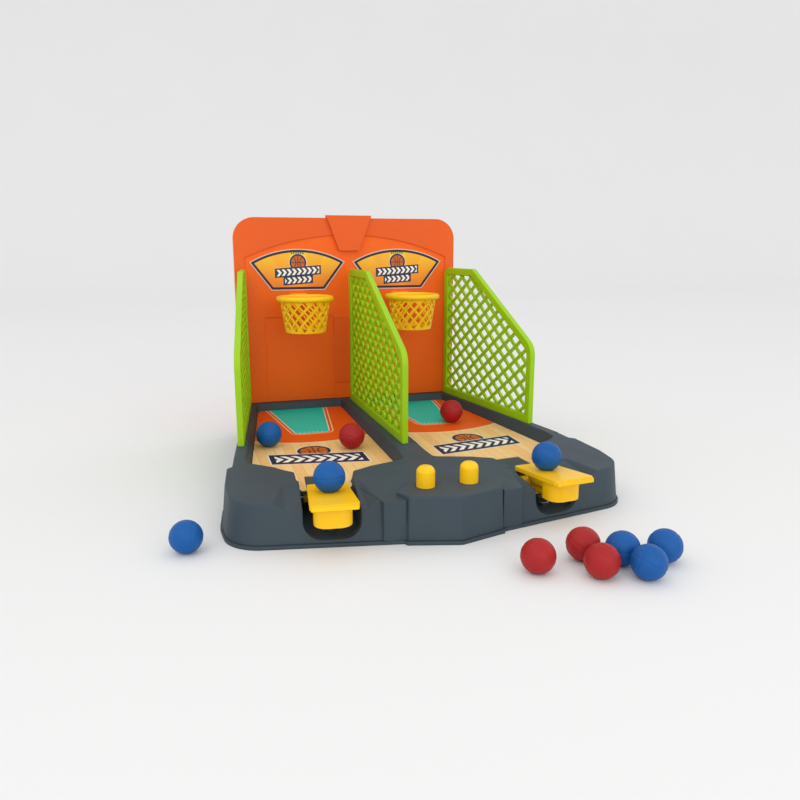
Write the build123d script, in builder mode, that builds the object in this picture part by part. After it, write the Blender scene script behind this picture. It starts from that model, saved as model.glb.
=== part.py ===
"""Two-lane tabletop basketball game: a moulded base with two courts, a backboard with two hoops,
three net panels, two sprung finger launchers, two sprung buttons and the balls.

Millimetres. +X is to the player's right, +Y runs away from the player, +Z is up.
The origin is on the table, under the middle of the base.
"""

import os
from math import atan2, cos, degrees, pi, radians, sin, sqrt, tan

from build123d import *

os.makedirs("parts", exist_ok=True)

# ---------------------------------------------------------------- driving dimensions
# Base
BOARD_Y = 140.0          # front face of the backboard
BASE_BACK_Y = 166.0      # back edge of the base, at its foot
BASE_BACK_HALF = 110.0   # half width of the foot at the backboard
FLARE = 0.14             # how much wider each side gets per millimetre towards the player
SHOULDER_Y = -62.0       # where the front shoulders begin
SHOULDER_STEP = 4.0      # how far the shoulders stand out from the sides
SHOULDER_HALF = 146.0    # half width of the foot at the shoulders
SHOULDER_WIDE_Y = -98.0  # where the shoulders are widest
CORNER_Y = -134.0        # front corners before rounding
CORNER_HALF = 143.5
WING_INNER = (36.0, -154.5)  # where a front edge meets the console
RIM_Z = 35.0             # top of the side and back rims
DECK_BACK_Y = -50.0      # start of the sloping front deck
DECK_BACK_Z = 34.6
DECK_SLOPE = 0.06        # fall of the deck per millimetre
BODY_DRAFT = 6.0         # degrees
WALL = 2.4
COVER_T = 2.4            # bottom cover
COVER_LIP = 1.2          # how far the cover shows round the foot
RIM_ROUND = 0.8          # edge rounding round the top

# Console
CONSOLE_TOP_Z = 32.0
CONSOLE_TIP_Y = -167.0
CONSOLE_CORNER = (33.0, -157.5)
CONSOLE_SIDE = (38.5, -145.0)
CONSOLE_BACK = (25.0, -126.0)
CONSOLE_DRAFT = 2.0
WEDGE = ((34.0, -120.0), (34.0, -155.5), (48.5, -153.8), (56.0, -120.0))
WEDGE_TOP_Z = 29.2

# Courts
COURT_BACK_Y = 130.0
COURT_INNER_BACK = 12.5
COURT_SIDE_RIM = 14.0    # from the foot's edge to the court, at the backboard
COURT_OUTER_BACK = BASE_BACK_HALF - COURT_SIDE_RIM
COURT_INNER_FRONT = (13.0, -76.0)
COURT_OUTER_FRONT_Y = -56.0
COURT_NECK = (63.5, 59.5)    # lane distances where the neck's outer and inner sides begin
COURT_FLOOR_Z = 24.2     # top of the floor where the deck begins
COURT_SLOPE = 1.2        # degrees, down towards the player
COURT_DRAFT = 18.0       # degrees, how far the walls lean outwards
COURT_CORNER_R = 4.0
SHEET_T = 0.6            # printed court sheet
SHEET_GAP = 0.4
STRIP = (30.0, 72.0)     # lane distances of the bare strip left in the sheet
STRIP_HALF = 13.0

# Launcher lanes
LANE_ANGLE = 6.0         # degrees that each lane fans out
LANE_ORIGIN = (80.0, -145.0)
NECK_HALF = 19.5
WELL_HALF = 18.5
WELL_FLOOR_Z = 4.6
WELL_FRONT = 4.5         # lane distance from the front wall line
WELL_BACK = 65.0
NOTCH_RADIUS = 12.0
NECK_END = 42.0          # lane distance where the court floor stops
SCOOP = (3.5, 52.0, 23.6)    # across, width and height at the front wall
SCOOP_TILT = 10.5        # degrees
SCOOP_SIDES = 58.0       # degrees, how far its sides lean outwards

# Launcher lever
PIVOT = (55.0, 15.0)     # lane distance and height of the pivot
PIN_R = 1.5
BALL_R = 10.5
PLATE_W = 31.0           # at its front edge
PLATE_BACK_W = 27.0
PLATE_FRONT = -19.0
PLATE_BACK = 36.0
PLATE_T = 3.2
PLATE_TILT = 5.0         # degrees, front edge up
LIP_OUT, LIP_DROP = 1.6, 0.8     # a lower step round the plate's front edge
SEAT = (14.0, 32.0)      # lane distance and height of the plate top under the ball
SEAT_R = 4.5
HUB_AT, HUB_BOTTOM_Z = -3.0, 17.0
HUB_SIZE, HUB_CORNER_R = (24.5, 20.0), 8.5
FLARE_SIZE = (20.0, 30.0)
FLARE_DEEP = 9.5         # how far the flared body reaches below the plate's top
SPRING_AT = 16.0         # lane distance of the launcher spring
SPRING_R, SPRING_WIRE_R = 4.0, 0.5
SPRING_TURNS = 5
SPRING_CUP_R, SPRING_BORE_R = 7.2, 5.6
SPRING_CEILING_Z = 25.6
ARM_W, ARM_BOTTOM_Z, ARM_TOP_Z = 12.0, 11.2, 18.8
ARM_BACK = 63.0
PIVOT_BOSS_R = 4.6
PIVOT_BOSS_W = 30.0
PIVOT_GAP = 0.08
STOP_AT = 61.0           # lane distance of the rib the tail rests on
STOP_GAP = 0.3

# Buttons
BUTTON_X, BUTTON_Y = 15.5, -139.0
BUTTON_R = 6.3
BUTTON_TOP_Z = 46.0
BUTTON_BORE_GAP = 0.3
BUTTON_FLANGE_R = 8.6
BUTTON_FLANGE_T = 2.0
BUTTON_GUIDE_Z = 28.4    # underside of the guide ring, which stops the flange
BUTTON_POST = (5.5, 12.0)    # radius and top height
BUTTON_SPRING_R, BUTTON_WIRE_R, BUTTON_TURNS = 4.2, 0.45, 4

# Backboard
BOARD_OVERHANG = 1.0     # beyond the foot
BOARD_HALF = BASE_BACK_HALF + BOARD_OVERHANG
BOARD_TOP_Z = 214.0
BOARD_T = 3.0            # skin
BOARD_DEPTH = 9.0        # with its turned-back edge
BOARD_CORNER_R = 20.0
FIELD_IN = 9.5           # from the board's edge to its sunk middle field
FIELD_HALF = BOARD_HALF - FIELD_IN
FIELD_DEPTH = 1.2
ARCH_SIDE_Z, ARCH_MID_Z = 176.5, 198.0
CREST_TOP_HALF, CREST_LOW_HALF = 22.6, 10.0
CREST_TOP_Z, CREST_LOW_Z = 216.4, 182.7
CREST_PROUD = 4.0
TAB_W, TAB_T, TAB_DEEP = 26.0, 3.0, 10.0
TAB_XS = (-74.0, 0.0, 74.0)
FIT_GAP = 0.3

# Labels
LABEL_X = 50.5
LABEL_LOW_HALF, LABEL_WIDE_HALF = 26.0, 46.5
LABEL_LOW_Z, LABEL_CORNER_Z, LABEL_TOP_Z = 145.0, 172.0, 184.5
LABEL_T = 0.5

# Hoops
HOOP_X, HOOP_OUT, HOOP_Z = 52.0, 43.0, 140.0
RING_R, RING_TUBE_R = 24.0, 2.4
BASKET_TOP_R, BASKET_LOW_R = 21.6, 16.6
BASKET_LOW_Z = 109.0
BASKET_T = 1.8
BASKET_COLUMNS, BASKET_ROWS = 14, 5
BRACKET_W, BRACKET_T = 16.0, 4.0
TONGUE_W, TONGUE_T = 12.0, 3.0

# Net panels
NET_T = 5.0              # frame
NET_MESH_T = 2.2         # lattice
NET_BORDER = 7.0
NET_TOP_Z = 165.5
NET_TOP_R, NET_NOSE_R = 8.0, 16.0
SIDE_NET = dict(length=157.0, flat=56.0, nose=103.0)
CENTRE_NET = dict(length=178.0, flat=66.0, nose=106.0)
SIDE_NET_IN = 7.0        # from the foot's edge to the middle of a side net, at the backboard
SIDE_NET_X = BASE_BACK_HALF - SIDE_NET_IN
DIAMOND_PITCH = (17.6, 12.8)
NET_BAR = 2.4
NET_TAB = (14.0, 2.8, 8.0)

# Screws
SCREW_R, SCREW_HEAD_R, SCREW_L = 1.4, 2.9, 10.0
SCREW_HOLE_GAP = 0.05
BOSS_R = 3.6
SCREW_SPOTS = ((28.0, 112.0), (86.0, 112.0), (30.0, -18.0), (104.0, -18.0), (124.0, -98.0))

# Loose balls on the table, beside the game: (x, y)
TABLE_RED = ((26.8, -218.0), (61.2, -210.4), (58.7, -235.0))
TABLE_BLUE = ((-169.3, -127.6), (80.5, -223.0), (83.5, -244.5), (106.9, -227.7))
# Balls lying in the courts: (x, y)
COURT_BALLS = {
    "left_court_blue_ball": (-100.0, 9.0),
    "left_court_red_ball": (-36.0, -14.5),
    "right_court_red_ball": (72.0, 40.0),
}
BALL_GAP = 0.1


# ---------------------------------------------------------------- shared geometry
STANDING = (Align.CENTER, Align.CENTER, Align.MIN)


def export(piece, name):
    """Labels a finished piece and writes its file."""
    piece.label = name
    export_step(piece, f"parts/{name}.step")


def mirrored(piece):
    """The left-hand twin of a right-hand piece."""
    return mirror(piece, about=Plane.YZ)


def foot_half(y):
    """Half width of the base's foot along its straight sides."""
    return BASE_BACK_HALF + FLARE * (BOARD_Y - y)


def deck_z(y):
    """Height of the sloping front deck."""
    return DECK_BACK_Z - DECK_SLOPE * (DECK_BACK_Y - y)


def court_floor_z(y):
    """Height of the court floor."""
    return COURT_FLOOR_Z + tan(radians(COURT_SLOPE)) * (y - DECK_BACK_Y)


LANE = Plane(
    origin=(*LANE_ORIGIN, 0),
    x_dir=(cos(radians(LANE_ANGLE)), sin(radians(LANE_ANGLE)), 0),
    z_dir=(0, 0, 1),
)
LANE_SIDE = Plane(origin=LANE.origin, x_dir=LANE.y_dir, z_dir=LANE.x_dir)   # local X is lane distance, Y is height
LANE_FRONT = Plane(origin=LANE.origin, x_dir=LANE.x_dir, z_dir=-LANE.y_dir)  # local X is across, Y is height


def lane_point(across, along, z=0.0):
    """A point given in the right-hand lane's own directions."""
    return LANE.origin + LANE.x_dir * across + LANE.y_dir * along + Vector(0, 0, z)


COURT = Plane(
    origin=(0, DECK_BACK_Y, COURT_FLOOR_Z),
    x_dir=(1, 0, 0),
    z_dir=(0, -sin(radians(COURT_SLOPE)), cos(radians(COURT_SLOPE))),
)


def court_outline():
    """Corners of the right court's floor, anticlockwise, in the court plane."""
    neck_out = lane_point(NECK_HALF, COURT_NECK[0])
    neck_in = lane_point(-NECK_HALF, COURT_NECK[1])
    end_out = lane_point(NECK_HALF, NECK_END)
    end_in = lane_point(-NECK_HALF, NECK_END)
    outer_front = COURT_OUTER_BACK + FLARE * (COURT_BACK_Y - COURT_OUTER_FRONT_Y)
    corners = (
        (COURT_INNER_BACK, COURT_BACK_Y),
        (COURT_OUTER_BACK, COURT_BACK_Y),
        (outer_front, COURT_OUTER_FRONT_Y),
        (neck_out.X, neck_out.Y),
        (end_out.X, end_out.Y),
        (end_in.X, end_in.Y),
        (neck_in.X, neck_in.Y),
        COURT_INNER_FRONT,
    )
    return [(x, (y - DECK_BACK_Y) / cos(radians(COURT_SLOPE))) for x, y in reversed(corners)]


def foot_outline():
    """Corners of the right half of the base's foot, from the back middle."""
    shoulder = foot_half(SHOULDER_Y)
    return [
        (0, BASE_BACK_Y),
        (foot_half(BASE_BACK_Y), BASE_BACK_Y),
        (shoulder, SHOULDER_Y),
        (shoulder + SHOULDER_STEP, SHOULDER_Y - 3),
        (SHOULDER_HALF, SHOULDER_WIDE_Y),
        (CORNER_HALF, CORNER_Y),
        WING_INNER,
        (0, WING_INNER[1]),
    ]


def foot_sketch(grow, z):
    """The foot's outline, rounded at its corners and grown by an amount."""
    left = [(-x, y) for x, y in foot_outline()[1:-1]]
    right = [(-x, y) for x, y in reversed(left)]
    with BuildSketch(Plane.XY.offset(z)) as foot:
        with BuildLine():
            Polyline(*left, *right, close=True)
        make_face()
        wide = foot.vertices().filter_by(lambda v: abs(v.Y - CORNER_Y) < 1)
        fillet(wide, 26)
        shoulders = foot.vertices().filter_by(lambda v: abs(v.Y - SHOULDER_WIDE_Y) < 1)
        fillet(shoulders, 24)
        steps = foot.vertices().filter_by(lambda v: abs(v.Y - SHOULDER_Y + 3) < 0.5)
        fillet(steps, 5)
        backs = foot.vertices().filter_by(lambda v: abs(v.Y - BASE_BACK_Y) < 1)
        fillet(backs, 9)
        if grow:
            offset(amount=grow)
    return foot.sketch


def profile_above(drop):
    """Everything above the rim and the deck, less a drop, as a side-on outline of (y, z)."""
    high, out = 90.0, 240.0
    return [
        (out, RIM_Z - drop),
        (DECK_BACK_Y + 1.5, RIM_Z - drop),
        (DECK_BACK_Y - 1.5, deck_z(DECK_BACK_Y - 1.5) - drop),
        (-out, deck_z(-out) - drop),
        (-out, high),
        (out, high),
    ]


def body_block(inset, drop, round_r):
    """The base's outer form, or with an inset and a drop the hollow inside it."""
    with BuildPart() as block:
        add(foot_sketch(-inset, COVER_T))
        extrude(amount=46, taper=BODY_DRAFT)
        with BuildSketch(Plane.YZ):
            with BuildLine():
                Polyline(*profile_above(drop), close=True)
            make_face()
        extrude(amount=220, both=True, mode=Mode.SUBTRACT)
        if round_r:
            top = block.faces().filter_by(lambda f: f.normal_at().Z > 0.9 and f.area > 100)
            inner = [e for f in top for e in f.edges()]
            rims = [e for e in inner if sum(e.is_same(o) for o in inner) == 1]
            fillet(rims, round_r)
    return block.part


def console_block(inset, drop):
    """The console that stands out of the middle of the front, or its hollow."""
    right = [(0, CONSOLE_TIP_Y), CONSOLE_CORNER, CONSOLE_SIDE, CONSOLE_BACK]
    left = [(-x, y) for x, y in reversed(right[1:])]
    with BuildPart() as block:
        with BuildSketch(Plane.XY.offset(COVER_T)):
            with BuildLine():
                Polyline(*right, *left, close=True)
            make_face()
            if inset:
                offset(amount=-inset, kind=Kind.INTERSECTION)
        extrude(amount=CONSOLE_TOP_Z - drop - COVER_T, taper=CONSOLE_DRAFT)
        if not inset:
            fillet(block.faces().sort_by(Axis.Z)[-1].edges(), RIM_ROUND)
    return block.part


def wedge_block():
    """The upright wedge between a wing's front wall and the console."""
    with BuildPart() as block:
        with BuildSketch(Plane.XY.offset(COVER_T)):
            with BuildLine():
                Polyline(*WEDGE, close=True)
            make_face()
        extrude(amount=WEDGE_TOP_Z - COVER_T)
    return block.part


def court_block(grow, start, height):
    """The right court's recess, or with a growth the tub round it."""
    with BuildPart() as block:
        with BuildSketch(COURT.offset(start)) as floor:
            with BuildLine():
                Polyline(*court_outline(), close=True)
            make_face()
            fillet(floor.vertices(), COURT_CORNER_R)
            if grow:
                offset(amount=grow)
        extrude(amount=height, taper=-COURT_DRAFT)
    return block.part


def well_block(grow):
    """The launcher's well under the right lane, or with a growth the tub round it."""
    with BuildPart() as block:
        with BuildSketch(LANE.offset(WELL_FLOOR_Z - grow)):
            with Locations((0, (WELL_FRONT + WELL_BACK) / 2)):
                Rectangle(2 * (WELL_HALF + grow), WELL_BACK - WELL_FRONT + 2 * grow)
        extrude(amount=60)
        if not grow:
            with BuildSketch(LANE.offset(court_floor_z(lane_point(0, WELL_BACK).Y) - WALL)):
                with Locations((0, NECK_END + 30)):
                    Rectangle(80, 60)
            extrude(amount=60, mode=Mode.SUBTRACT)
    return block.part


def notch_block():
    """The rounded opening through the front wall, with the deck open above it."""
    with BuildPart() as block:
        with BuildSketch(LANE_FRONT) as notch:
            with Locations((0, WELL_FLOOR_Z + 30)):
                Rectangle(2 * WELL_HALF, 60)
            fillet(notch.vertices().group_by(Axis.Y)[0], NOTCH_RADIUS)
        extrude(amount=30)
        extrude(notch.sketch, amount=-WELL_FRONT - 4)
    return block.part


def scoop_block():
    """The finger scoop cut into the deck and the wall round a launcher."""
    across, width, height = SCOOP
    floor_plane = Plane(
        origin=lane_point(across, -2, height),
        x_dir=LANE.x_dir,
        z_dir=Vector(0, 0, 1) * cos(radians(SCOOP_TILT)) - LANE.y_dir * sin(radians(SCOOP_TILT)),
    )
    with BuildPart() as block:
        with BuildSketch(floor_plane):
            Rectangle(width, 70)
        extrude(amount=12, taper=-SCOOP_SIDES)
    return block.part


def slot_block(x, y, angle, length, width, depth):
    """A straight slot through the rim for a tab."""
    with BuildPart() as block:
        with Locations(Location((x, y, RIM_Z), (0, 0, angle))):
            Box(length, width, 2 * depth)
    return block.part


# ---------------------------------------------------------------- net panels
def net_place(side):
    """Where a net stands: its back lower corner, and its direction along the rim."""
    if side == "centre":
        return Plane(origin=(0, BOARD_Y - 8, RIM_Z), x_dir=(0, -1, 0), z_dir=(-1, 0, 0))
    lean = atan2(FLARE, 1)
    return Plane(
        origin=(SIDE_NET_X, BOARD_Y - 0.5, RIM_Z),
        x_dir=(sin(lean), -cos(lean), 0),
        z_dir=(-cos(lean), -sin(lean), 0),
    )


def net_outline(length, flat, nose):
    """Corners of a net, as (distance from the backboard, height above the rim)."""
    top = NET_TOP_Z - RIM_Z
    return [(0, 0), (length, 0), (length, nose - RIM_Z), (flat, top), (0, top)]


def net_panel(side, length, flat, nose):
    """A lattice net in a thicker frame, with two tabs that plug into the rim."""
    place = net_place(side)
    pitch_u, pitch_v = DIAMOND_PITCH
    with BuildPart() as net:
        with BuildSketch(place.offset(-NET_T / 2)) as rim:
            with BuildLine():
                Polyline(*net_outline(length, flat, nose), close=True)
            make_face()
            fillet(rim.vertices().group_by(Axis.Y)[-1], NET_TOP_R)
            fillet(rim.vertices().filter_by(lambda v: abs(v.Y - nose + RIM_Z) < 0.5), NET_NOSE_R)
            offset(amount=-NET_BORDER, mode=Mode.SUBTRACT)
        extrude(amount=NET_T)
        fillet(net.edges().filter_by(lambda e: e.center().Z > RIM_Z + 2), 0.9)
        with BuildSketch(place.offset(-NET_MESH_T / 2)) as mesh:
            with BuildLine():
                Polyline(*net_outline(length, flat, nose), close=True)
            make_face()
            fillet(mesh.vertices().group_by(Axis.Y)[-1], NET_TOP_R)
            fillet(mesh.vertices().filter_by(lambda v: abs(v.Y - nose + RIM_Z) < 0.5), NET_NOSE_R)
            offset(amount=-NET_BORDER + 0.4)
            rows = int((NET_TOP_Z - RIM_Z) / pitch_v) + 1
            columns = int(length / pitch_u) + 1
            cells = []
            for row in range(2 * rows):
                for column in range(columns):
                    u = NET_BORDER + pitch_u * (column + (0.5 if row % 2 else 0.0))
                    v = NET_BORDER + pitch_v * row / 2
                    cells.append((u, v))
            half_u = pitch_u / 2 - NET_BAR * sqrt(pitch_u**2 + pitch_v**2) / (2 * pitch_v)
            half_v = half_u * pitch_v / pitch_u
            with Locations(*cells):
                Polygon((half_u, 0), (0, half_v), (-half_u, 0), (0, -half_v), mode=Mode.SUBTRACT)
        extrude(amount=NET_MESH_T)
        tab_l, tab_t, tab_d = NET_TAB
        with BuildSketch(place.offset(-tab_t / 2)):
            for u in net_tab_spots(length):
                with Locations((u, -tab_d / 2)):
                    Rectangle(tab_l, tab_d)
        extrude(amount=tab_t)
    return net.part


def net_tab_spots(length):
    """How far along a net its two tabs are."""
    return (0.16 * length, 0.84 * length)


# ---------------------------------------------------------------- base shell
def boss_top(y):
    """Top of a screw boss, just inside the skin above it."""
    skin_z = court_floor_z(y) if y > DECK_BACK_Y else deck_z(y)
    return skin_z - WALL / 2


def screw_places(z):
    """Where the cover's screws go, on both sides."""
    return [(side * x, y, z) for x, y in SCREW_SPOTS for side in (1, -1)]


def button_places(z):
    """The two buttons' centres at a height."""
    return [(BUTTON_X, BUTTON_Y, z), (-BUTTON_X, BUTTON_Y, z)]


def pivot_rod(radius, length):
    """A rod along the right launcher's pivot."""
    with BuildPart() as rod:
        with BuildSketch(Plane(origin=lane_point(0, *PIVOT), x_dir=(0, 0, 1), z_dir=LANE.x_dir)):
            Circle(radius)
        extrude(amount=length / 2, both=True)
    return rod.part


def tab_slots():
    """Slots in the rim for the backboard's and the nets' tabs."""
    slots = []
    for x in TAB_XS:
        slots.append(slot_block(x, BOARD_Y + TAB_T / 2 + 2, 0, TAB_W + 2 * FIT_GAP, TAB_T + 2 * FIT_GAP, 12))
    tab_l, tab_t, tab_d = NET_TAB
    for side, net in (("centre", CENTRE_NET), ("right", SIDE_NET)):
        place = net_place(side)
        for u in net_tab_spots(net["length"]):
            spot = place.origin + place.x_dir * u
            angle = degrees(atan2(place.x_dir.Y, place.x_dir.X))
            slot = slot_block(spot.X, spot.Y, angle, tab_l + 2 * FIT_GAP, tab_t + 2 * FIT_GAP, tab_d + 1)
            slots.append(slot)
            if side == "right":
                slots.append(mirrored(slot))
    return slots


outer = body_block(0, 0, RIM_ROUND)
hollow = body_block(WALL, WALL, 0)
tubs = [court_block(WALL, -WALL, 30), well_block(WALL)]

with BuildPart() as base_shell:
    add(outer)
    scoop = scoop_block()
    add([scoop, mirrored(scoop)], mode=Mode.SUBTRACT)
    wedge = wedge_block()
    add([console_block(0, 0), wedge, mirrored(wedge)])
    skin = base_shell.part
    add([hollow, console_block(WALL, WALL)], mode=Mode.SUBTRACT)
    for tub in tubs:
        wall = tub & skin
        add([wall, mirrored(wall)])
    # floor of the scoops, which would otherwise break through the thin deck
    scoop_skin = (scoop.moved(Location((0, 0, -WALL))) - scoop) & skin
    add([scoop_skin, mirrored(scoop_skin)])
    # screw bosses
    for x, y, z in screw_places(COVER_T):
        with Locations((x, y, z)):
            Cylinder(BOSS_R, boss_top(y) - z, align=STANDING)
    # button guides under the console
    with Locations(*button_places(BUTTON_GUIDE_Z)):
        Cylinder(BUTTON_R + 2.2, 2, align=STANDING)
    # open everything that is used
    court = court_block(0, 0, 60)
    well = well_block(0)
    notch = notch_block()
    add([court, mirrored(court), well, mirrored(well), notch, mirrored(notch)], mode=Mode.SUBTRACT)
    add(tab_slots(), mode=Mode.SUBTRACT)
    with Locations(*button_places(CONSOLE_TOP_Z)):
        Cylinder(BUTTON_R + BUTTON_BORE_GAP, 20, mode=Mode.SUBTRACT)
    with Locations(*screw_places(COVER_T)):
        Cylinder(SCREW_R + SCREW_HOLE_GAP, SCREW_L, align=STANDING, mode=Mode.SUBTRACT)
    # pivot pin holes through both walls of each well
    pin_hole = pivot_rod(PIN_R + SCREW_HOLE_GAP, 2 * (WELL_HALF + WALL) + 4)
    add([pin_hole, mirrored(pin_hole)], mode=Mode.SUBTRACT)
    # the rib that the lever's tail rests on, and the spigot that centres its spring
    with BuildPart(mode=Mode.PRIVATE) as well_fittings:
        with BuildSketch(LANE.offset(WELL_FLOOR_Z - WALL / 2)):
            with Locations((0, STOP_AT)):
                Rectangle(ARM_W, 3)
        extrude(amount=ARM_BOTTOM_Z - STOP_GAP - WELL_FLOOR_Z + WALL / 2)
        with BuildSketch(LANE.offset(WELL_FLOOR_Z - WALL / 2)):
            with Locations((0, SPRING_AT)):
                Circle(SPRING_R - SPRING_WIRE_R - 0.7)
        extrude(amount=4)
    add([well_fittings.part, mirrored(well_fittings.part)])
export(base_shell.part, "base_shell")


# ---------------------------------------------------------------- bottom cover and screws
with BuildPart() as bottom_cover:
    with BuildSketch():
        add(foot_sketch(COVER_LIP, 0))
        tip_x, tip_y = CONSOLE_CORNER
        side_x, side_y = CONSOLE_SIDE
        grown = [(tip_x + COVER_LIP, tip_y - COVER_LIP), (side_x + COVER_LIP, side_y), (side_x + COVER_LIP, 0)]
        with BuildLine():
            Polyline((0, CONSOLE_TIP_Y - COVER_LIP), *grown, *[(-x, y) for x, y in reversed(grown)], close=True)
        make_face()
    extrude(amount=COVER_T)
    with Locations(*screw_places(0)):
        Cylinder(SCREW_R + 0.2, COVER_T, align=STANDING, mode=Mode.SUBTRACT)
        Cylinder(SCREW_HEAD_R + 0.2, COVER_T / 2 + 0.2, align=STANDING, mode=Mode.SUBTRACT)
    post_r, post_z = BUTTON_POST
    with Locations(*button_places(COVER_T / 2)):
        Cylinder(post_r, post_z - COVER_T / 2, align=STANDING)
        Cylinder(BUTTON_SPRING_R - BUTTON_WIRE_R - 0.5, post_z + 2.5 - COVER_T / 2, align=STANDING)
export(bottom_cover.part, "bottom_cover")

with BuildPart() as cover_screws:
    seat_z = COVER_T / 2 + 0.2
    with Locations(*screw_places(seat_z)):
        Cylinder(SCREW_R, SCREW_L - 1, align=STANDING)
        Cylinder(SCREW_HEAD_R, 1.2, align=(Align.CENTER, Align.CENTER, Align.MAX))
    with Locations(*screw_places(seat_z - 1.2)):
        Box(3.6, 0.8, 1.2, mode=Mode.SUBTRACT)
        Box(0.8, 3.6, 1.2, mode=Mode.SUBTRACT)
export(cover_screws.part, "cover_screws")


# ---------------------------------------------------------------- court sheets
with BuildPart() as right_court_sheet:
    with BuildSketch(COURT) as printed:
        with BuildLine():
            Polyline(*court_outline(), close=True)
        make_face()
        fillet(printed.vertices(), COURT_CORNER_R)
        offset(amount=-SHEET_GAP)
    extrude(amount=SHEET_T)
    # the bare strip behind the finger plate
    with BuildSketch(LANE.offset(COURT_FLOOR_Z - 10)):
        with Locations((0, (STRIP[0] + STRIP[1]) / 2)):
            Rectangle(2 * STRIP_HALF, STRIP[1] - STRIP[0])
    extrude(amount=20, mode=Mode.SUBTRACT)
export(right_court_sheet.part, "right_court_sheet")
export(mirrored(right_court_sheet.part), "left_court_sheet")


# ---------------------------------------------------------------- backboard
FRONT = Plane.XZ.offset(-BOARD_Y)                      # the backboard's front face
FIELD = Plane.XZ.offset(-BOARD_Y - FIELD_DEPTH)        # its sunk field

with BuildPart() as backboard:
    with BuildSketch(FRONT) as sheet:
        with Locations((0, (RIM_Z + BOARD_TOP_Z) / 2)):
            Rectangle(2 * BOARD_HALF, BOARD_TOP_Z - RIM_Z)
        fillet(sheet.vertices().group_by(Axis.Y)[-1], BOARD_CORNER_R)
    extrude(amount=-BOARD_DEPTH)
    with BuildSketch(FRONT.offset(-BOARD_T)):
        add(sheet.sketch.moved(Location((0, BOARD_T, 0))))
        offset(amount=-WALL)
    extrude(amount=-BOARD_DEPTH, mode=Mode.SUBTRACT)
    # sunk field under the arch
    with BuildSketch(FRONT):
        with BuildLine():
            low = RIM_Z - 1
            Polyline((-FIELD_HALF, ARCH_SIDE_Z), (-FIELD_HALF, low), (FIELD_HALF, low), (FIELD_HALF, ARCH_SIDE_Z))
            ThreePointArc((FIELD_HALF, ARCH_SIDE_Z), (0, ARCH_MID_Z), (-FIELD_HALF, ARCH_SIDE_Z))
        make_face()
    extrude(amount=-FIELD_DEPTH, mode=Mode.SUBTRACT)
    # a shallow panel on the left and a bar beside it
    with BuildSketch(FIELD):
        with Locations((-50, 77)):
            Rectangle(68, 84)
    extrude(amount=-0.5, mode=Mode.SUBTRACT)
    with BuildSketch(FIELD):
        with Locations((-8.5, 84.8)):
            Rectangle(15.8, 67.5)
    extrude(amount=0.8)
    # crest
    with BuildSketch(FRONT.offset(-BOARD_T)):
        with BuildLine():
            crest = [(CREST_LOW_HALF, CREST_LOW_Z), (CREST_TOP_HALF, CREST_TOP_Z)]
            Polyline(*crest, *[(-x, z) for x, z in reversed(crest)], close=True)
        make_face()
    extrude(amount=BOARD_T + CREST_PROUD)
    # tabs into the base, and the two hoop holes
    with BuildSketch(FRONT.offset(-2)):
        for x in TAB_XS:
            with Locations((x, RIM_Z - TAB_DEEP / 2 + 1)):
                Rectangle(TAB_W, TAB_DEEP + 2)
    extrude(amount=-TAB_T)
    with BuildSketch(FRONT):
        with Locations((HOOP_X, HOOP_Z), (-HOOP_X, HOOP_Z)):
            Rectangle(TONGUE_W + 2 * FIT_GAP, TONGUE_T + 2 * FIT_GAP)
    extrude(amount=-BOARD_T - 1, mode=Mode.SUBTRACT)
export(backboard.part, "backboard")

with BuildPart() as right_label:
    with BuildSketch(FIELD):
        with BuildLine():
            wide, narrow = LABEL_WIDE_HALF, LABEL_LOW_HALF
            Polyline(
                (LABEL_X - wide, LABEL_CORNER_Z),
                (LABEL_X - narrow, LABEL_LOW_Z),
                (LABEL_X + narrow, LABEL_LOW_Z),
                (LABEL_X + wide, LABEL_CORNER_Z),
            )
            top = (LABEL_X, LABEL_TOP_Z)
            ThreePointArc((LABEL_X + wide, LABEL_CORNER_Z), top, (LABEL_X - wide, LABEL_CORNER_Z))
        make_face()
    extrude(amount=LABEL_T)
export(right_label.part, "right_label")
export(mirrored(right_label.part), "left_label")


# ---------------------------------------------------------------- hoops
def basket_hole(angle, z):
    """One diamond-shaped hole through the basket."""
    radius = BASKET_LOW_R + (BASKET_TOP_R - BASKET_LOW_R) * (z - BASKET_LOW_Z) / (HOOP_Z - BASKET_LOW_Z)
    half_u = radius * pi / BASKET_COLUMNS - 0.9
    out = (cos(radians(angle)), sin(radians(angle)), 0)
    with BuildPart() as hole:
        with BuildSketch(Plane(origin=(HOOP_X, BOARD_Y - HOOP_OUT, z), x_dir=(-out[1], out[0], 0), z_dir=out)):
            Polygon((half_u, 0), (0, 4.0), (-half_u, 0), (0, -4.0))
        extrude(amount=30)
    return hole.part


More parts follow.
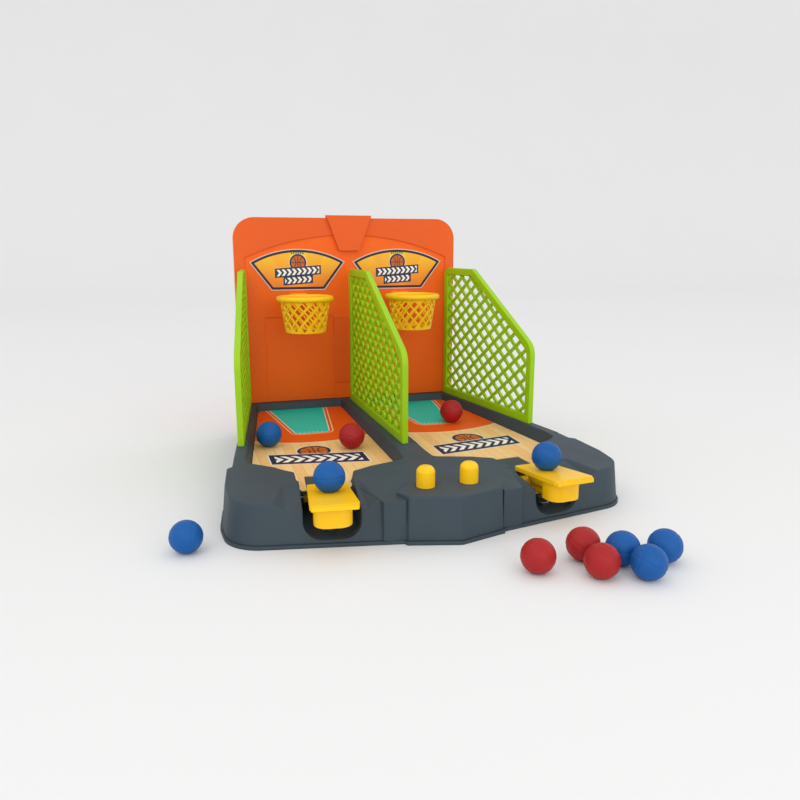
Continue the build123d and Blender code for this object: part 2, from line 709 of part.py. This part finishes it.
with BuildPart() as right_hoop:
    with BuildSketch(Plane(origin=(HOOP_X, BOARD_Y - HOOP_OUT, 0), x_dir=(1, 0, 0), z_dir=(0, -1, 0))):
        low, high = (BASKET_LOW_R, BASKET_LOW_Z), (BASKET_TOP_R, HOOP_Z)
        Polygon(low, (low[0] + BASKET_T, low[1]), (high[0] + BASKET_T, high[1]), high, align=None)
    revolve(axis=Axis((HOOP_X, BOARD_Y - HOOP_OUT, 0), (0, 0, 1)))
    step = 360 / BASKET_COLUMNS
    rows = [HOOP_Z - 6.0 - 5.0 * row for row in range(BASKET_ROWS)]
    shifts = [0.5 * (row % 2) for row in range(BASKET_ROWS)]
    holes = [
        basket_hole(step * (column + shift), z) for z, shift in zip(rows, shifts) for column in range(BASKET_COLUMNS)
    ]
    add(holes, mode=Mode.SUBTRACT)
    with Locations((HOOP_X, BOARD_Y - HOOP_OUT, HOOP_Z)):
        Torus(RING_R, RING_TUBE_R)
    bracket_l = HOOP_OUT + FIELD_DEPTH - RING_R
    with Locations((HOOP_X, BOARD_Y + FIELD_DEPTH - bracket_l / 2, HOOP_Z)):
        Box(BRACKET_W, bracket_l, BRACKET_T)
    tongue_l = BOARD_T - FIELD_DEPTH + 1
    with Locations((HOOP_X, BOARD_Y + FIELD_DEPTH + tongue_l / 2, HOOP_Z)):
        Box(TONGUE_W, tongue_l, TONGUE_T)
export(right_hoop.part, "right_hoop")
export(mirrored(right_hoop.part), "left_hoop")


# ---------------------------------------------------------------- nets
side_net = net_panel("right", **SIDE_NET)
export(side_net, "right_net_panel")
export(mirrored(side_net), "left_net_panel")
export(net_panel("centre", **CENTRE_NET), "centre_net_panel")


# ---------------------------------------------------------------- launchers
tilt = radians(PLATE_TILT)
PLATE = Plane(
    origin=lane_point(0, *SEAT),
    x_dir=LANE.x_dir,
    z_dir=LANE.y_dir * sin(tilt) + Vector(0, 0, 1) * cos(tilt),
)
launcher_ball_at = PLATE.origin + PLATE.z_dir * (sqrt(BALL_R**2 - SEAT_R**2) + BALL_GAP)

with BuildPart() as right_launcher:
    with BuildSketch(PLATE) as finger_plate:
        front, back = PLATE_FRONT - SEAT[0], PLATE_BACK - SEAT[0]
        wide, narrow = PLATE_W / 2, PLATE_BACK_W / 2
        Polygon((-wide, front), (wide, front), (narrow, back), (-narrow, back), align=None)
        fillet(finger_plate.vertices(), 2.5)
    extrude(amount=-PLATE_T)
    with BuildSketch(PLATE.offset(-LIP_DROP)):
        with Locations((0, PLATE_FRONT - LIP_OUT / 2 + 2 - SEAT[0])):
            RectangleRounded(PLATE_W - 1.5, 4 + LIP_OUT, 1.5)
    extrude(amount=-PLATE_T + 0.4)
    with BuildSketch(PLATE.offset(-FLARE_DEEP)):
        with Locations((0, FLARE_SIZE[1] / 2 - 9 - SEAT[0])):
            RectangleRounded(*FLARE_SIZE, 5)
    extrude(amount=FLARE_DEEP - PLATE_T + 0.4, taper=-28)
    with BuildSketch(LANE.offset(HUB_BOTTOM_Z)):
        with Locations((0, HUB_AT)):
            RectangleRounded(*HUB_SIZE, HUB_CORNER_R)
        with Locations((0, SPRING_AT)):
            Circle(SPRING_CUP_R)
        with Locations((0, (HUB_AT + SPRING_AT) / 2)):
            Rectangle(2 * SPRING_CUP_R, SPRING_AT - HUB_AT)
    extrude(amount=SPRING_CEILING_Z + 3 - HUB_BOTTOM_Z)
    # arm back to the pivot, with a web up to the plate
    arm_front = SPRING_AT + SPRING_CUP_R - 1
    with BuildSketch(LANE.offset(ARM_BOTTOM_Z)):
        with Locations((0, (arm_front + ARM_BACK) / 2)):
            Rectangle(ARM_W, ARM_BACK - arm_front)
    extrude(amount=ARM_TOP_Z - ARM_BOTTOM_Z)
    with BuildSketch(LANE.offset(ARM_TOP_Z - 1)):
        with Locations((0, (arm_front + PLATE_BACK) / 2 - 1)):
            Rectangle(4, PLATE_BACK - arm_front - 2)
    extrude(amount=10)
    add(pivot_rod(PIVOT_BOSS_R, PIVOT_BOSS_W))
    add(pivot_rod(PIN_R + PIVOT_GAP, PIVOT_BOSS_W + 2), mode=Mode.SUBTRACT)
    with BuildSketch(LANE.offset(HUB_BOTTOM_Z)):
        with Locations((0, SPRING_AT)):
            Circle(SPRING_BORE_R)
    extrude(amount=SPRING_CEILING_Z - HUB_BOTTOM_Z, mode=Mode.SUBTRACT)
    # dish for the ball
    with Locations(launcher_ball_at):
        Sphere(BALL_R + BALL_GAP, mode=Mode.SUBTRACT)
export(right_launcher.part, "right_launcher")
export(mirrored(right_launcher.part), "left_launcher")

pin = pivot_rod(PIN_R, 2 * (WELL_HALF + WALL))
export(pin, "right_pivot_pin")
export(mirrored(pin), "left_pivot_pin")


def coil(at, length, radius, wire_r, turns):
    """A compression spring standing at a point."""
    with BuildPart() as spring:
        with BuildLine(Plane(origin=at + Vector(0, 0, wire_r))):
            path = Helix(pitch=(length - 2 * wire_r) / turns, height=length - 2 * wire_r, radius=radius)
        with BuildSketch(Plane(origin=path @ 0, z_dir=path % 0)):
            Circle(wire_r)
        sweep(is_frenet=True)
    return spring.part


launcher_spring = coil(
    lane_point(0, SPRING_AT, WELL_FLOOR_Z), SPRING_CEILING_Z - WELL_FLOOR_Z, SPRING_R, SPRING_WIRE_R, SPRING_TURNS
)
export(launcher_spring, "right_launcher_spring")
export(mirrored(launcher_spring), "left_launcher_spring")


# ---------------------------------------------------------------- buttons
flange_top = BUTTON_GUIDE_Z - FIT_GAP
flange_bottom = flange_top - BUTTON_FLANGE_T

with BuildPart() as right_button:
    with Locations((BUTTON_X, BUTTON_Y, flange_bottom)):
        Cylinder(BUTTON_FLANGE_R, BUTTON_FLANGE_T, align=STANDING)
        Cylinder(BUTTON_R, BUTTON_TOP_Z - flange_bottom, align=STANDING)
    fillet(right_button.edges().group_by(Axis.Z)[-1], 4.5)
export(right_button.part, "right_button")
export(mirrored(right_button.part), "left_button")

button_spring = coil(
    Vector(BUTTON_X, BUTTON_Y, BUTTON_POST[1]),
    flange_bottom - BUTTON_POST[1],
    BUTTON_SPRING_R,
    BUTTON_WIRE_R,
    BUTTON_TURNS,
)
export(button_spring, "right_button_spring")
export(mirrored(button_spring), "left_button_spring")


# ---------------------------------------------------------------- balls
def ball(name, at):
    """One ball."""
    with BuildPart() as piece:
        with Locations(at):
            Sphere(BALL_R)
    export(piece.part, name)


ball("right_launcher_ball", launcher_ball_at)
ball("left_launcher_ball", Vector(-launcher_ball_at.X, launcher_ball_at.Y, launcher_ball_at.Z))
for name, (x, y) in COURT_BALLS.items():
    lift = SHEET_T + BALL_R + BALL_GAP
    ball(name, COURT.from_local_coords((x, (y - DECK_BACK_Y) / cos(radians(COURT_SLOPE)), lift)))
for colour, places in (("red", TABLE_RED), ("blue", TABLE_BLUE)):
    for count, (x, y) in enumerate(places, 1):
        ball(f"table_{colour}_ball_{count}", Vector(x, y, BALL_R))
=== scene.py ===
"""Looks of the two-lane tabletop basketball game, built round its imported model.

Everything is in metres, in the model's own frame: +X to the player's right, +Y away from the
player and +Z up, with the origin on the table under the middle of the base.
"""

import math

import bmesh
import bpy
from mathutils import Euler, Matrix, Vector


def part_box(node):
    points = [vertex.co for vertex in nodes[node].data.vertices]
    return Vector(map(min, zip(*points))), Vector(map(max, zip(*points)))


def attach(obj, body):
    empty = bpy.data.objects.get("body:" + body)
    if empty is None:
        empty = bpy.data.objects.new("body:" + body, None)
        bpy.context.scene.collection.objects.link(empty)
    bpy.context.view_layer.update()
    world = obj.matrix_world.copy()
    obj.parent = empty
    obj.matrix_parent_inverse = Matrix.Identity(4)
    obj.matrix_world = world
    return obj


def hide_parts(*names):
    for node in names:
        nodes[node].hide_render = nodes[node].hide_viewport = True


MM = 0.001
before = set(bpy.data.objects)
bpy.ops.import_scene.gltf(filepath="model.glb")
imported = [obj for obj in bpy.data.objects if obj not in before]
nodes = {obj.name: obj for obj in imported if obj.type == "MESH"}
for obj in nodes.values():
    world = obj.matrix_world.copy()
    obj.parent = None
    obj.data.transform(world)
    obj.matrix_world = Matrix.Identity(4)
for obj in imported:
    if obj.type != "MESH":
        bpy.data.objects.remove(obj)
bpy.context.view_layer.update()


# ---------------------------------------------------------------- shader helpers
def paint(code):
    """A colour written as six hexadecimal digits, as linear light."""
    shares = [int(code[i : i + 2], 16) / 255 for i in (0, 2, 4)]
    return (*[s / 12.92 if s < 0.04045 else ((s + 0.055) / 1.055) ** 2.4 for s in shares], 1.0)


class Value:
    """A node's output. Python's operators on it add Math nodes."""

    def __init__(self, finish, socket):
        self.finish = finish
        self.socket = socket

    def maths(self, operation, *others, clamp=False):
        settings = {"operation": operation, "use_clamp": clamp}
        return self.finish.node("ShaderNodeMath", settings, dict(enumerate((self, *others))))

    def __add__(self, other):
        return self.maths("ADD", other)

    __radd__ = __add__

    def __sub__(self, other):
        return self.maths("SUBTRACT", other)

    def __rsub__(self, other):
        return self.finish.node("ShaderNodeMath", {"operation": "SUBTRACT"}, {0: other, 1: self})

    def __mul__(self, other):
        return self.maths("MULTIPLY", other)

    __rmul__ = __mul__

    def __truediv__(self, other):
        return self.maths("DIVIDE", other)

    def __abs__(self):
        return self.maths("ABSOLUTE")

    def below(self, limit, soft=0.25 * MM):
        """1 where the value is under the limit, 0 where it is over, with a soft edge."""
        return ((limit - self) / soft).maths("ADD", 0.5, clamp=True)

    def larger(self, other):
        return self.maths("MAXIMUM", other)

    def smaller(self, other):
        return self.maths("MINIMUM", other)

    def root(self):
        return self.maths("SQRT")

    def from_spot(self, other):
        """Distance from a spot, given the two offsets from it."""
        return (self * self + other * other).root()

    def repeat(self, length):
        """How far along its own repeat a value is, from 0 to 1."""
        return (self / length).maths("FRACT")


class Finish:
    """One material. node() adds any node, and surface() sets the shader's own sockets."""

    def __init__(self, name):
        self.material = bpy.data.materials.new(name)
        self.material.use_nodes = True
        self.tree = self.material.node_tree
        self.shader = self.tree.nodes["Principled BSDF"]
        place = self.node("ShaderNodeTexCoord", {}, {}, "Object")
        self.place = place
        parts = self.tree.nodes.new("ShaderNodeSeparateXYZ")
        self.tree.links.new(place.socket, parts.inputs[0])
        self.x, self.y, self.z = [Value(self, parts.outputs[i]) for i in range(3)]

    def plug(self, socket, value):
        if isinstance(value, Value):
            self.tree.links.new(value.socket, socket)
        else:
            socket.default_value = value

    def node(self, kind, settings, inputs, output=0):
        made = self.tree.nodes.new(kind)
        for key, value in settings.items():
            setattr(made, key, value)
        for key, value in inputs.items():
            self.plug(made.inputs[key], value)
        return Value(self, made.outputs[output])

    def surface(self, **sockets):
        for key, value in sockets.items():
            self.plug(self.shader.inputs[key.replace("_", " ")], value)
        return self

    def blend(self, share, under, over):
        """One colour over another, where share is 1."""
        settings = {"data_type": "RGBA", "clamp_factor": True}
        return self.node("ShaderNodeMix", settings, {0: share, 6: under, 7: over}, 2)

    def noise(self, scale, detail=2.0, stretch=(1, 1, 1)):
        place = self.place
        if stretch != (1, 1, 1):
            place = self.node("ShaderNodeVectorMath", {"operation": "MULTIPLY"}, {0: place, 1: stretch})
        return self.node("ShaderNodeTexNoise", {}, {"Vector": place, "Scale": scale, "Detail": detail}, 0)

    def edge_normal(self, radius):
        """The normal that a rounded edge of this radius would have."""
        return self.node("ShaderNodeBevel", {"samples": 6}, {"Radius": radius})

    def edges(self, rounded):
        """Up to 1 along edges, 0 on flats."""
        true = self.node("ShaderNodeNewGeometry", {}, {}, "Normal")
        same = self.node("ShaderNodeVectorMath", {"operation": "DOT_PRODUCT"}, {0: rounded, 1: true}, 1)
        return ((1 - same) * 5).maths("MINIMUM", 1.0)

    def bump(self, height, distance, normal=None, strength=1.0):
        inputs = {"Height": height, "Distance": distance, "Strength": strength}
        if normal is not None:
            inputs["Normal"] = normal
        return self.node("ShaderNodeBump", {}, inputs)


# ---------------------------------------------------------------- moulded plastics
def plastic(name, light, dark, rough, radius=0.6 * MM, grain=0.03 * MM, coat=0.0):
    """Moulded plastic: slightly mottled, finely grained, and paler along its edges."""
    finish = Finish(name)
    cloud = finish.noise(22, 3)
    tone = finish.blend(cloud, paint(dark), paint(light))
    rounded = finish.edge_normal(radius)
    # Colour lightened along the rounded edges.
    paler_edges = finish.blend(finish.edges(rounded) * 0.35, tone, paint(light))
    speck = finish.noise(2600, 2)
    finish.surface(
        Base_Color=paler_edges,
        Roughness=rough + (finish.noise(60, 3) - 0.5) * 0.16,
        Normal=finish.bump(speck, grain, rounded),
        Coat_Weight=coat,
        Coat_Roughness=0.25,
        Specular_IOR_Level=0.25,
    )
    return finish


def board_plastic():
    """The backboard's orange with painted light and shade: deeper in its sunk field and towards the floor."""
    finish = Finish("backboard_orange")
    cloud = finish.noise(14, 3)
    field = finish.blend(cloud, paint("FA640E"), paint("FD6E18"))
    raised = finish.blend(cloud, paint("E85A1C"), paint("EC6222"))
    # Painted light and shade: the raised border and header take one tone and the sunk field another, and the mix
    # shifts with height.
    proud = finish.y.below(140.6 * MM, 0.4 * MM)
    height_shading = ((finish.z - 120 * MM) / (100 * MM)).maths("MINIMUM", 1.0, clamp=True)
    colour = finish.blend(proud * (0.55 + height_shading * 0.45), field, raised)
    rounded = finish.edge_normal(0.9 * MM)
    colour = finish.blend(finish.edges(rounded) * 0.4, colour, paint("EE7038"))
    finish.surface(
        Base_Color=colour,
        Roughness=0.42 + (finish.noise(40, 3) - 0.5) * 0.12,
        Specular_IOR_Level=0.2,
        Normal=finish.bump(finish.noise(1500, 2), 0.03 * MM, rounded),
    )
    return finish


def zinc_steel():
    """Bright zinc plate with a faint drawn grain."""
    finish = Finish("zinc_steel")
    streak = finish.noise(500, 3, (1, 1, 0.1))
    finish.surface(
        Base_Color=finish.blend(streak, paint("9DA0A3"), paint("C9CBCC")),
        Metallic=1.0,
        Roughness=0.28 + streak * 0.14,
    )
    return finish


# ---------------------------------------------------------------- printed film
def chevrons(across, up, pitch, half_height):
    """A row of pointed bars, 1 inside the bars."""
    along = (across + abs(up) * 0.8).repeat(pitch)
    bar = abs(along - 0.5).below(0.27, 0.08)
    return bar * abs(up).below(half_height)


def ball_badge(finish, colour, across, up, radius):
    """A small printed ball in a dark ring, over a colour."""
    away = across.from_spot(up)
    colour = finish.blend(away.below(radius * 1.32), colour, paint("E9E2D6"))
    colour = finish.blend(away.below(radius * 1.24), colour, paint("2B2438"))
    colour = finish.blend(away.below(radius), colour, paint("C4662A"))
    right_curve = abs((across - radius * 1.3).from_spot(up) - radius)
    left_curve = abs((across + radius * 1.3).from_spot(up) - radius)
    seams = abs(across).smaller(abs(up)).smaller(right_curve).smaller(left_curve)
    return finish.blend(seams.below(radius * 0.05) * away.below(radius), colour, paint("4A2A22"))


def court_film(name, side):
    """The printed floor: boards near the player, an orange end with a green key, and a badge."""
    finish = Finish(name)
    across = finish.x - side * 58 * MM
    along = finish.y
    # boards
    width = 7.5 * MM
    board = (finish.x / width).maths("FLOOR")
    ends = (finish.y + board * 31.7 * MM).repeat(64 * MM)
    tint = finish.node("ShaderNodeTexWhiteNoise", {"noise_dimensions": "1D"}, {"W": board})
    grain = finish.noise(130, 4, (6, 0.7, 1))
    wood = finish.blend(tint, paint("F8C680"), paint("FFDC9C"))
    wood = finish.blend(grain * 0.35, wood, paint("CC9450"))
    joint = abs((finish.x / width).maths("FRACT") - 0.5).below(0.475, 0.02)
    colour = finish.blend((1 - joint) * 0.4 + ends.below(0.01, 0.005) * 0.35, wood, paint("A36C34"))
    # orange end inside the long arc, with a pale line along it
    reach = across.from_spot(along - 108 * MM)
    colour = finish.blend(reach.below(98.5 * MM), colour, paint("F3DDB0"))
    colour = finish.blend(reach.below(96.5 * MM), colour, paint("F25E14"))
    # the key, wider towards the back and rounded at its near corners
    half = 14.5 * MM + (along - 40 * MM) * 0.13
    past_side = abs(across) - half
    past_end = 40 * MM - along
    round_r = 4 * MM
    beyond = (past_side.larger(-round_r) + round_r).from_spot(past_end.larger(-round_r) + round_r) - round_r
    colour = finish.blend(beyond.below(4.2 * MM), colour, paint("F3DDB0"))
    colour = finish.blend(beyond.below(3.2 * MM), colour, paint("F25E14"))
    colour = finish.blend(beyond.below(0.9 * MM), colour, paint("E9F0DE"))
    colour = finish.blend(beyond.below(0.0), colour, paint("0ACCBC"))
    ticks = across.repeat(4 * MM).below(0.4, 0.1) * abs(along - 43 * MM).below(0.8 * MM)
    colour = finish.blend(ticks * abs(across).below(12 * MM), colour, paint("BFE6DA"))
    # badge and banner
    middle = across - side * 9 * MM
    lean = math.radians(-9 * side)
    level = (along + 33 * MM) * math.cos(lean) + middle * math.sin(lean)
    colour = ball_badge(finish, colour, middle, along + 13 * MM, 11 * MM)
    colour = finish.blend(abs(middle).below(38 * MM) * abs(level).below(13 * MM), colour, paint("F0E7DA"))
    colour = finish.blend(abs(middle).below(37 * MM) * abs(level).below(12 * MM), colour, paint("2B2845"))
    bars = chevrons(middle, level, 8.2 * MM, 7.6 * MM) * abs(middle).below(33 * MM)
    colour = finish.blend(bars, colour, paint("F4F2EC"))
    finish.surface(
        Base_Color=colour,
        Roughness=0.46 + (finish.noise(90, 2) - 0.5) * 0.1,
        Specular_IOR_Level=0.2,
        Normal=finish.bump(grain, 0.02 * MM),
    )
    return finish


def label_film(name, side):
    """The fan-shaped label: a dark border, warm rays, a ball and two tilted bars of chevrons."""
    finish = Finish(name)
    across = finish.x - side * 50.5 * MM
    up = finish.z - 145 * MM
    low_half, slope_x, slope_z = 26 * MM, 20.5, 27.0
    steep = math.hypot(slope_x, slope_z)
    past_side = ((abs(across) - low_half) * slope_z - up * slope_x) / steep
    top_r = 92.7 * MM
    drop = 39.5 * MM - top_r
    past_top = across.from_spot(up - drop) - top_r
    beyond = past_side.larger(past_top).larger(up * -1)
    # warm ground with rays
    height = (up / (34 * MM)).maths("MINIMUM", 1.0, clamp=True)
    ground = finish.blend(height, paint("F2581A"), paint("FFC81E"))
    turn = (up + 12 * MM).maths("ARCTAN2", across)
    rays = (turn * 9).maths("SINE")
    ground = finish.blend(rays.below(0.0, 0.5) * 0.35, ground, paint("F58A1C"))
    glow = (abs(across) / (40 * MM)).maths("MINIMUM", 1.0)
    ground = finish.blend((1 - glow) * 0.25, ground, paint("FFD24A"))
    # ball, small dots over it, and the bars
    printed = ball_badge(finish, ground, across, up - 26.5 * MM, 6.6 * MM)
    dots = across.repeat(2.2 * MM).below(0.62, 0.1) * abs(across).below(6.6 * MM)
    arch = up + across * across * 12.0
    printed = finish.blend(dots * abs(arch - 35.6 * MM).below(0.9 * MM), printed, paint("3C7A35"))
    lean = math.radians(4)
    level = (up - 16.5 * MM) * math.cos(lean) - across * math.sin(lean)
    for half, centre, tall in ((22.5, 1.5, 4.4), (14.5, -6.6, 4.2)):
        here = level - centre * MM
        printed = finish.blend(abs(across).below(half * MM) * abs(here).below(tall * MM), printed, paint("2A2B4E"))
        bars = chevrons(across, here, 4.9 * MM, (tall - 1.3) * MM) * abs(across).below((half - 1.6) * MM)
        printed = finish.blend(bars, printed, paint("F6F4F0"))
    # dark border inside a pale edge
    colour = finish.blend(beyond.below(-3.1 * MM), paint("2B2034"), printed)
    colour = finish.blend(beyond.below(-0.8 * MM), paint("D9CFC8"), colour)
    finish.surface(Base_Color=colour, Roughness=0.34 + (finish.noise(80, 2) - 0.5) * 0.08, Specular_IOR_Level=0.3)
    return finish


slate = plastic("slate_moulding", "414E57", "36424A", 0.55, 1.4 * MM, 0.05 * MM)
yellow = plastic("yellow_moulding", "FFCE10", "FABE00", 0.38, 0.7 * MM, 0.015 * MM, 0.15)
green = plastic("lime_moulding", "A2D010", "90C20A", 0.45, 0.5 * MM, 0.015 * MM, 0.1)
blue = plastic("blue_ball_moulding", "0B5CA6", "084F94", 0.5, 0.4 * MM, 0.03 * MM, 0.05)
red = plastic("red_ball_moulding", "AE1F22", "9C191C", 0.5, 0.4 * MM, 0.03 * MM, 0.05)
orange = board_plastic()
steel = zinc_steel()


def dress(name, finish):
    """Gives a CAD node its finish."""
    nodes[name].data.materials.clear()
    nodes[name].data.materials.append(finish.material)


for name in ("base_shell", "bottom_cover"):
    dress(name, slate)
dress("backboard", orange)
for side, way in (("left", -1), ("right", 1)):
    dress(f"{side}_court_sheet", court_film(f"{side}_court_film", way))
    dress(f"{side}_label", label_film(f"{side}_label_film", way))
    for part in ("hoop", "launcher", "button"):
        dress(f"{side}_{part}", yellow)
    for part in ("pivot_pin", "launcher_spring", "button_spring"):
        dress(f"{side}_{part}", steel)
for part in ("left", "centre", "right"):
    dress(f"{part}_net_panel", green)
dress("cover_screws", steel)


# ---------------------------------------------------------------- balls
BALL_R = 10.5 * MM
SEAM_DEPTH = 0.22 * MM
SEAM_HALF = 0.055        # radians


def ball_mesh():
    """A ball with the shallow seams of a basketball."""
    mesh = bpy.data.meshes.new("seamed_ball")
    made = bmesh.new()
    bmesh.ops.create_icosphere(made, subdivisions=6, radius=BALL_R)
    for v in made.verts:
        n = v.co.normalized()
        side_seam = abs(math.acos(min(1.0, abs(n.y))) - math.radians(47))
        away = min(abs(n.x), abs(n.z), side_seam)
        v.co -= n * SEAM_DEPTH * math.exp(-((away / SEAM_HALF) ** 2))
    for face in made.faces:
        face.smooth = True
    made.to_mesh(mesh)
    made.free()
    return mesh


balls = {n: blue if "blue" in n or "launcher" in n else red for n in nodes if "ball" in n}
shape = {finish: ball_mesh() for finish in (blue, red)}
for finish, mesh in shape.items():
    mesh.materials.append(finish.material)
for count, (name, finish) in enumerate(sorted(balls.items())):
    low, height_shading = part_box(name)
    ball = bpy.data.objects.new(f"{name}_seamed", shape[finish])
    bpy.context.scene.collection.objects.link(ball)
    turn = Euler((0.5 + 1.1 * count, 0.3 + 0.7 * count, 0.9 * count))
    ball.matrix_world = Matrix.Translation((low + height_shading) / 2) @ turn.to_matrix().to_4x4()
    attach(ball, f"{name}_body")
    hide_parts(name)


# ---------------------------------------------------------------- floor, light and camera
def backdrop():
    """A pale floor that sweeps up behind the game."""
    run, bend, tall, half = 2.2, 1.4, 3.0, 5.0
    line = [(-4.0, 0.0), (run, 0.0)]
    steps = 24
    for i in range(1, steps + 1):
        a = math.radians(90 * i / steps)
        line.append((run + bend * math.sin(a), bend * (1 - math.cos(a))))
    line.append((run + bend, tall + bend))
    mesh = bpy.data.meshes.new("backdrop")
    points = [(x, y, z) for y, z in line for x in (-half, half)]
    faces = [(2 * i, 2 * i + 1, 2 * i + 3, 2 * i + 2) for i in range(len(line) - 1)]
    mesh.from_pydata(points, [], faces)
    mesh.shade_smooth()
    sweep = bpy.data.objects.new("backdrop", mesh)
    bpy.context.scene.collection.objects.link(sweep)
    paper = Finish("backdrop_paper")
    paper.surface(Base_Color=paper.blend(paper.noise(3, 2), paint("E9E9E9"), paint("EBEBEB")), Roughness=0.9)
    mesh.materials.append(paper.material)


def area_light(name, place, target, size, watts):
    """A soft square light aimed at a point."""
    data = bpy.data.lights.new(name, "AREA")
    data.shape, data.size, data.energy = "SQUARE", size, watts
    light = bpy.data.objects.new(name, data)
    light.matrix_world = (
        Matrix.Translation(place) @ (Vector(target) - Vector(place)).to_track_quat("-Z", "Y").to_matrix().to_4x4()
    )
    bpy.context.scene.collection.objects.link(light)


backdrop()
area_light("key_light", (-0.8, -1.0, 1.2), (0, 0.05, 0.08), 0.9, 2.6)
area_light("front_light", (0.2, -1.3, 0.5), (0, 0.14, 0.12), 0.7, 2.4)
world = bpy.data.worlds.new("studio")
world.use_nodes = True
world.node_tree.nodes["Background"].inputs["Color"].default_value = (1.0, 1.0, 1.0, 1.0)
world.node_tree.nodes["Background"].inputs["Strength"].default_value = 1.0
bpy.context.scene.world = world
bpy.context.scene.view_settings.view_transform = "Standard"

LENS = 32.4              # on a 36 mm sensor
CAMERA_AT = Vector((-166.5, -568.8, 188.0)) * MM
YAW, PITCH = math.radians(17.22), math.radians(12.13)
camera = bpy.data.objects.new("camera", bpy.data.cameras.new("camera"))
camera.data.lens = LENS
camera.data.clip_start = 0.01
camera.location = CAMERA_AT
camera.rotation_euler = (math.pi / 2 - PITCH, 0, -YAW)
bpy.context.scene.collection.objects.link(camera)
bpy.context.scene.camera = camera
